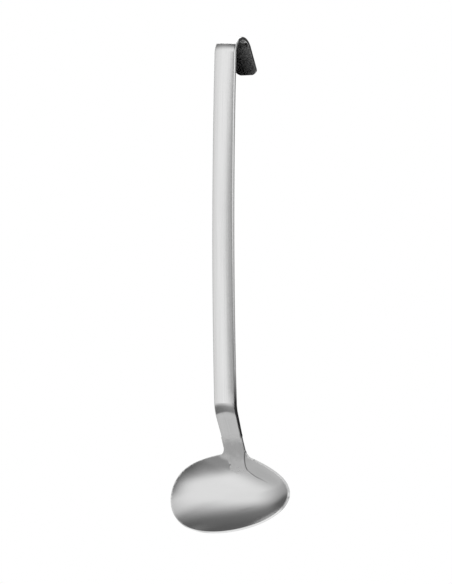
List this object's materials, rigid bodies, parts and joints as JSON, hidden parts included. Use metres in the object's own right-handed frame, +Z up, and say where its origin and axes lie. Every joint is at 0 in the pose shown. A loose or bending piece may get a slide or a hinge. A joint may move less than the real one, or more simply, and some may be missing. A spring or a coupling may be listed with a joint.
{
  "type": "basting spoon",
  "caption": "All-steel basting spoon with an egg-shaped bowl set across a long strap handle that ends in a hanging hook.",
  "frame": {"origin": "underside of the hook's arch, on the handle's middle plane, where a rail carries the spoon", "axes": "+Z up along the hanging handle, +X to the right as seen from the front, -Y to the front, where the bowl opens"},
  "size_m": [0.0933, 0.0378, 0.3424],
  "materials": {
    "strap_steel": "satin, brushed lengthways",
    "weld_steel": "ground flush and blended",
    "bowl_steel": "finely polished"
  },
  "bodies": {
    "root": {"handle": "strap_steel", "weld_seam": "weld_steel", "bowl": "bowl_steel"}
  },
  "joints": []
}
